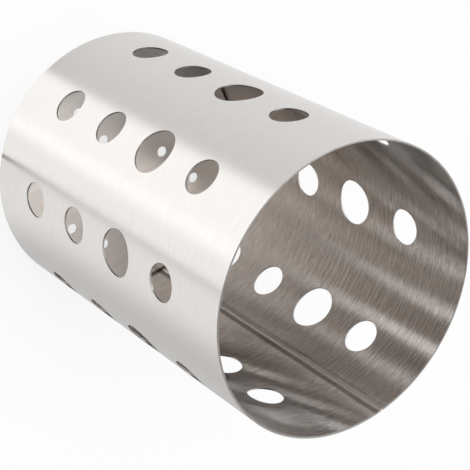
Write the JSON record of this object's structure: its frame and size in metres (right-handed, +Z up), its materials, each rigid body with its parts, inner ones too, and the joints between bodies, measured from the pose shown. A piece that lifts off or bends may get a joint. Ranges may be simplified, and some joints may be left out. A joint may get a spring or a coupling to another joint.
{
  "type": "utensil holder",
  "caption": "Upright round utensil holder of brushed stainless sheet, open at the top, with rows of round holes in its wall and a raised base with drain holes.",
  "frame": {"origin": "centre of the foot, on the plane of the wall's lower edge, which is the plane of the table", "axes": "+Z up along the holder's axis, towards the open top; +Y towards the weld seam of the wall, which is at the back; +X to the right of the seam seen from the front"},
  "size_m": [0.127, 0.127, 0.18],
  "materials": {
    "wall_steel": "stainless sheet, brushed finely around the wall, with the cut edges left plain",
    "base_steel": "stainless sheet, brushed finely in one direction, pressed to a flanged plate",
    "weld_steel": "weld metal, satin, ground flush outside and left as a low crown inside"
  },
  "bodies": {
    "root": {"body_shell": "wall_steel", "seam_weld": "weld_steel", "base_plate": "base_steel", "base_tacks": "weld_steel"}
  },
  "joints": []
}
